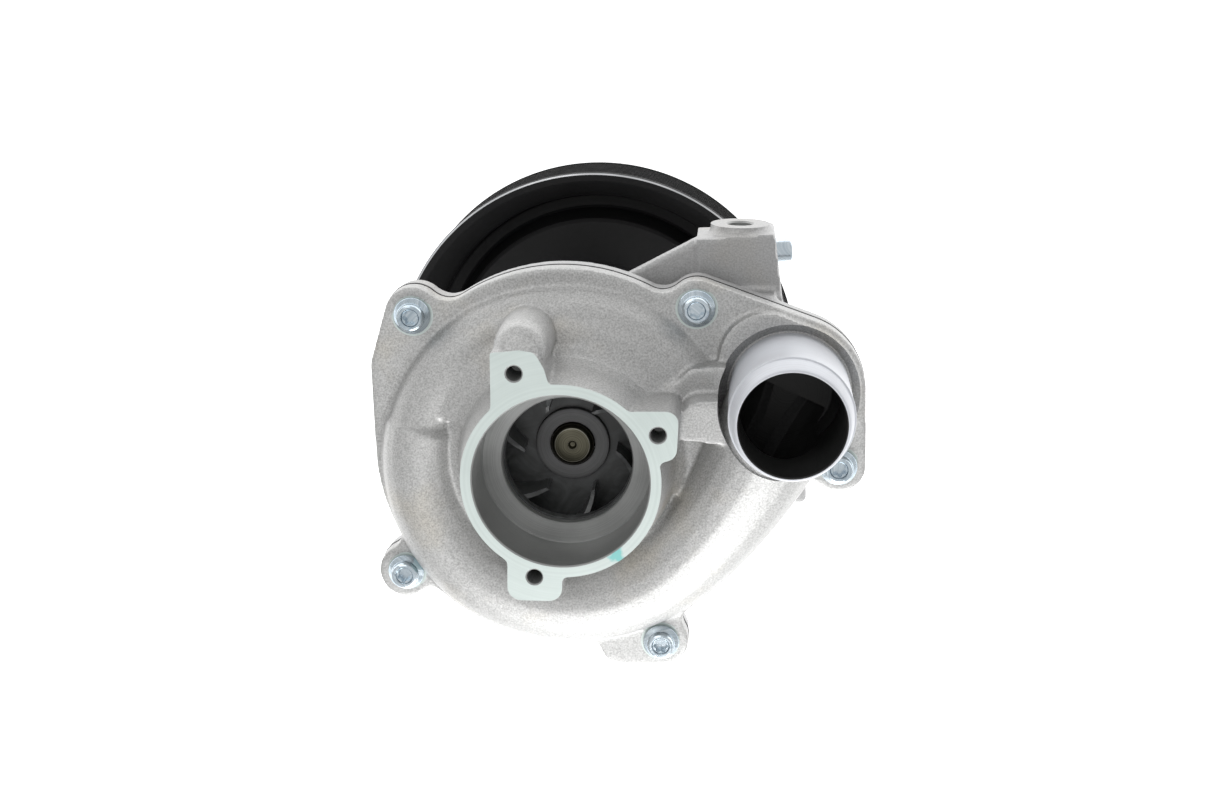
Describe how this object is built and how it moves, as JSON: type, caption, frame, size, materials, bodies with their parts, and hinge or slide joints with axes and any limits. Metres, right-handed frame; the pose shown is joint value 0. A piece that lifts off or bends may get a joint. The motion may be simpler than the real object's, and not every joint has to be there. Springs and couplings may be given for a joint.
{
  "type": "water pump",
  "caption": "Belt-driven engine coolant pump: cast volute with round inlet flange and outlet spigot, bearing housing with bracket, shrouded impeller on a long shaft, ribbed pulley.",
  "frame": {"origin": "on the shaft axis at the centre of the shaft's pulley-end face, which is level with the pulley's outer rim", "axes": "+Z along the shaft from the pulley to the inlet, +X towards the outlet spigot, +Y towards the bracket boss's flat face"},
  "size_m": [0.1958, 0.1744, 0.192],
  "materials": {
    "cast_aluminium": "as-cast aluminium, fine grain, with machined faces",
    "zinc_plated_steel": "bright bluish zinc plating",
    "gasket_black": "thin black gasket",
    "bearing_steel": "ground steel",
    "shaft_steel": "ground steel, oiled, olive-grey",
    "cage_polymer": "moulded cage polymer",
    "seal_rubber": "black seal rubber",
    "seal_carbon": null,
    "seal_ceramic": "lapped ceramic",
    "impeller_plastic": "dark moulded plastic",
    "hub_steel": "sintered steel insert",
    "pulley_black": "satin black coated steel"
  },
  "bodies": {
    "pump_body": {"volute_cover": "cast_aluminium", "cover_gasket": "gasket_black", "rear_housing": "cast_aluminium", "cover_screw_1": "zinc_plated_steel", "cover_screw_2": "zinc_plated_steel", "cover_screw_3": "zinc_plated_steel", "cover_screw_4": "zinc_plated_steel", "cover_screw_5": "zinc_plated_steel", "locating_dowel_1": "bearing_steel", "locating_dowel_2": "bearing_steel", "bracket_pin": "zinc_plated_steel", "bearing_sleeve": "bearing_steel", "bearing_seal_front": "seal_rubber", "bearing_seal_rear": "seal_rubber", "seal_cup": "bearing_steel", "seal_bellows": "seal_rubber", "seal_spring": "bearing_steel", "seal_face": "seal_carbon", "weep_plug": "impeller_plastic"},
    "rotor": {"shaft": "shaft_steel", "slinger": "bearing_steel", "seal_mating_ring": "seal_ceramic", "impeller_hub": "hub_steel", "impeller": "impeller_plastic", "impeller_shroud": "impeller_plastic", "pulley_hub": "bearing_steel", "pulley": "pulley_black", "pulley_bolt_1": "zinc_plated_steel", "pulley_bolt_2": "zinc_plated_steel", "pulley_bolt_3": "zinc_plated_steel", "pulley_bolt_4": "zinc_plated_steel"},
    "ball_train": {"bearing_ball_1": "bearing_steel", "bearing_ball_2": "bearing_steel", "bearing_ball_3": "bearing_steel", "bearing_ball_4": "bearing_steel", "bearing_ball_5": "bearing_steel", "bearing_ball_6": "bearing_steel", "bearing_ball_7": "bearing_steel", "bearing_ball_8": "bearing_steel", "ball_cage": "cage_polymer"},
    "roller_train": {"bearing_roller_1": "bearing_steel", "bearing_roller_2": "bearing_steel", "bearing_roller_3": "bearing_steel", "bearing_roller_4": "bearing_steel", "bearing_roller_5": "bearing_steel", "bearing_roller_6": "bearing_steel", "bearing_roller_7": "bearing_steel", "bearing_roller_8": "bearing_steel", "bearing_roller_9": "bearing_steel", "bearing_roller_10": "bearing_steel", "roller_cage": "cage_polymer"}
  },
  "joints": [
    {"name": "rotor_spin", "type": "hinge", "parent": "pump_body", "child": "rotor", "pos_m": [0, 0, 0.08], "axis": [0, 0, 1], "continuous": true},
    {"name": "ball_orbit", "type": "hinge", "parent": "pump_body", "child": "ball_train", "pos_m": [0, 0, 0.099], "axis": [0, 0, 1], "continuous": true},
    {"name": "roller_orbit", "type": "hinge", "parent": "pump_body", "child": "roller_train", "pos_m": [0, 0, 0.065], "axis": [0, 0, 1], "continuous": true}
  ],
  "couplings": [
    {"joint": "ball_orbit", "follows": "rotor_spin", "ratio": 0.3624},
    {"joint": "roller_orbit", "follows": "rotor_spin", "ratio": 0.3952}
  ]
}
